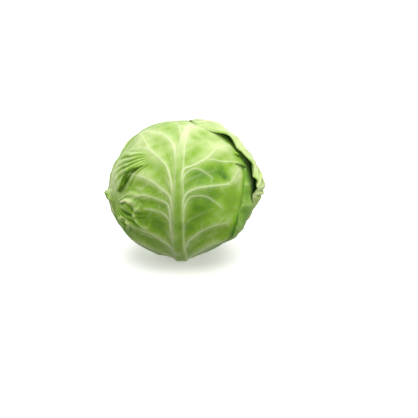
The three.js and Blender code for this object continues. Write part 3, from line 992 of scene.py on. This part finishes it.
front_leaf = GROWTH[ORDER["leaf_front"]]
front_veins = []
front_creases = []
for side_veins in (FRONT_VEINS_LEFT, FRONT_VEINS_RIGHT):
    large = [vein(front_leaf, places, FRONT_VEIN_LOOK, FRONT_VEIN_STEPS) for places in side_veins]
    front_veins += large
    front_creases += veins_between(large, 0.7)
front_creases += [vein(front_leaf, places, FRONT_FORK_LOOK, FRONT_FORK_STEPS) for places in FRONT_FORKS]
front_creases.append(vein(front_leaf, FRONT_CREASE, FRONT_CREASE_LOOK, FRONT_FORK_STEPS))
front_folds = [
    {"path": smooth_path(front_leaf, FRONT_TUCK, FRONT_VEIN_STEPS),
     "lift": 7.0, "reach": 9.0, "overlap": 4.4, "first": 0.12, "last": 0.7},
]
for places in FRONT_HOOKS:
    front_folds.append(
        {"path": smooth_path(front_leaf, places, FRONT_HOOK_STEPS),
         "lift": 3.4, "reach": 6.0, "overlap": 2.6, "first": 0.5, "last": 0.95})
front_piece = grow_leaf(
    "leaf_front", FRONT_ROWS, FRONT_COLUMNS, rib=FRONT_RIB, mains=front_veins, extras=front_creases,
    patches=FRONT_PATCHES, folds=front_folds, gathers=FRONT_GATHERS, crumples=FRONT_CRUMPLES, frill=1.0,
    finish=wrapper_skin)

# The right wrapper leaf
# The last leaf, at the back right. Its left margin lies over the front leaf and stands off it, so a dark
# gap shows under its bright green edge, and lower down it flares out in a pale frill.

RIGHT_GATHERS = [
    {"place": (98, -61), "toward": 5, "window": 65, "reach": 56,
     "height": 3.0, "count": 15, "wander": 1.0},
]

right_leaf = GROWTH[ORDER["leaf_right"]]
right_piece = grow_leaf(
    "leaf_right", WRAPPER_ROWS, WRAPPER_COLUMNS, rib=[(14, 0), (60, 1), (120, -1), (155, -2), (170, -1)],
    mains=lateral_veins(right_leaf, 7, LEAF_SEEDS["leaf_right"]), extras=[],
    patches=[(140, -32, 34, -0.35), (168, -6, 20, -0.2), (106, -57, 12, -0.5)],
    folds=[], gathers=RIGHT_GATHERS, crumples=[], frill=2.6, finish=wrapper_skin)

# The floor, the light and the camera
# A plain white floor in a white room. A large soft light hangs above, and weaker ones stand at the left,
# right, front and back. The camera looks a little down on the front leaf. Lengths here are in metres.

FLOOR_HALF = 20.0
FLOOR_WHITE = (0.93, 0.93, 0.92, 1)
FLOOR_GLOW = 0.3
ROOM_GLOW = 0.3
floor_mesh = bpy.data.meshes.new("floor")
floor_corners = [
    (-FLOOR_HALF, -FLOOR_HALF, 0), (FLOOR_HALF, -FLOOR_HALF, 0),
    (FLOOR_HALF, FLOOR_HALF, 0), (-FLOOR_HALF, FLOOR_HALF, 0)]
floor_mesh.from_pydata(floor_corners, [], [(0, 1, 2, 3)])
floor = bpy.data.objects.new("floor", floor_mesh)
bpy.context.scene.collection.objects.link(floor)
floor_paint = bpy.data.materials.new("floor_paint")
floor_paint.use_nodes = True
floor_shader = floor_paint.node_tree.nodes["Principled BSDF"]
floor_shader.inputs["Base Color"].default_value = FLOOR_WHITE
floor_shader.inputs["Roughness"].default_value = 0.8
floor_shader.inputs["Emission Color"].default_value = (1, 1, 1, 1)
floor_shader.inputs["Emission Strength"].default_value = FLOOR_GLOW
floor_mesh.materials.append(floor_paint)
floor.visible_diffuse = False
floor.visible_glossy = False

HEAD_MIDDLE = Vector((0.0015, 0.0, 0.076))


def soft_light(name, place, spread, strength):
    """A far broad light that shines from a place towards the head, as wide as spread in degrees."""
    lamp = bpy.data.lights.new(name, "SUN")
    lamp.angle = math.radians(spread)
    lamp.energy = strength
    holder = bpy.data.objects.new(name, lamp)
    holder.location = place
    holder.rotation_euler = (HEAD_MIDDLE - Vector(place)).to_track_quat("-Z", "Y").to_euler()
    bpy.context.scene.collection.objects.link(holder)


soft_light("key_light", (0.12, -0.12, 1.3), 70, 2.7)
soft_light("left_light", (-1.3, 0.1, 0.6), 60, 0.9)
soft_light("right_light", (1.3, -0.3, 0.5), 60, 0.9)
soft_light("front_light", (0.4, -1.3, 0.1), 80, 1.5)
soft_light("back_light", (-0.2, 1.3, 0.6), 80, 0.9)
room = bpy.data.worlds.new("white_room")
room.use_nodes = True
room_shader = room.node_tree.nodes["Background"]
room_shader.inputs["Color"].default_value = (1, 1, 1, 1)
room_shader.inputs["Strength"].default_value = ROOM_GLOW
bpy.context.scene.world = room
bpy.context.scene.view_settings.view_transform = "Standard"

PHOTO_PIXELS = 418
HEAD_PIXEL = (184.8, 188.3)
CAMERA_RISE = math.radians(20)
CAMERA_DISTANCE = 1.058
lens = bpy.data.cameras.new("camera")
lens.lens = 85
lens.sensor_width = 36
ahead = Vector((0, math.cos(CAMERA_RISE), -math.sin(CAMERA_RISE)))
above = Vector((0, math.sin(CAMERA_RISE), math.cos(CAMERA_RISE)))
pixel = CAMERA_DISTANCE * lens.sensor_width / lens.lens / PHOTO_PIXELS
aim = HEAD_MIDDLE + Vector((1, 0, 0)) * (PHOTO_PIXELS / 2 - HEAD_PIXEL[0]) * pixel
aim -= above * (PHOTO_PIXELS / 2 - HEAD_PIXEL[1]) * pixel
camera = bpy.data.objects.new("camera", lens)
camera.location = aim - ahead * CAMERA_DISTANCE
camera.rotation_euler = ahead.to_track_quat("-Z", "Y").to_euler()
bpy.context.scene.collection.objects.link(camera)
bpy.context.scene.camera = camera
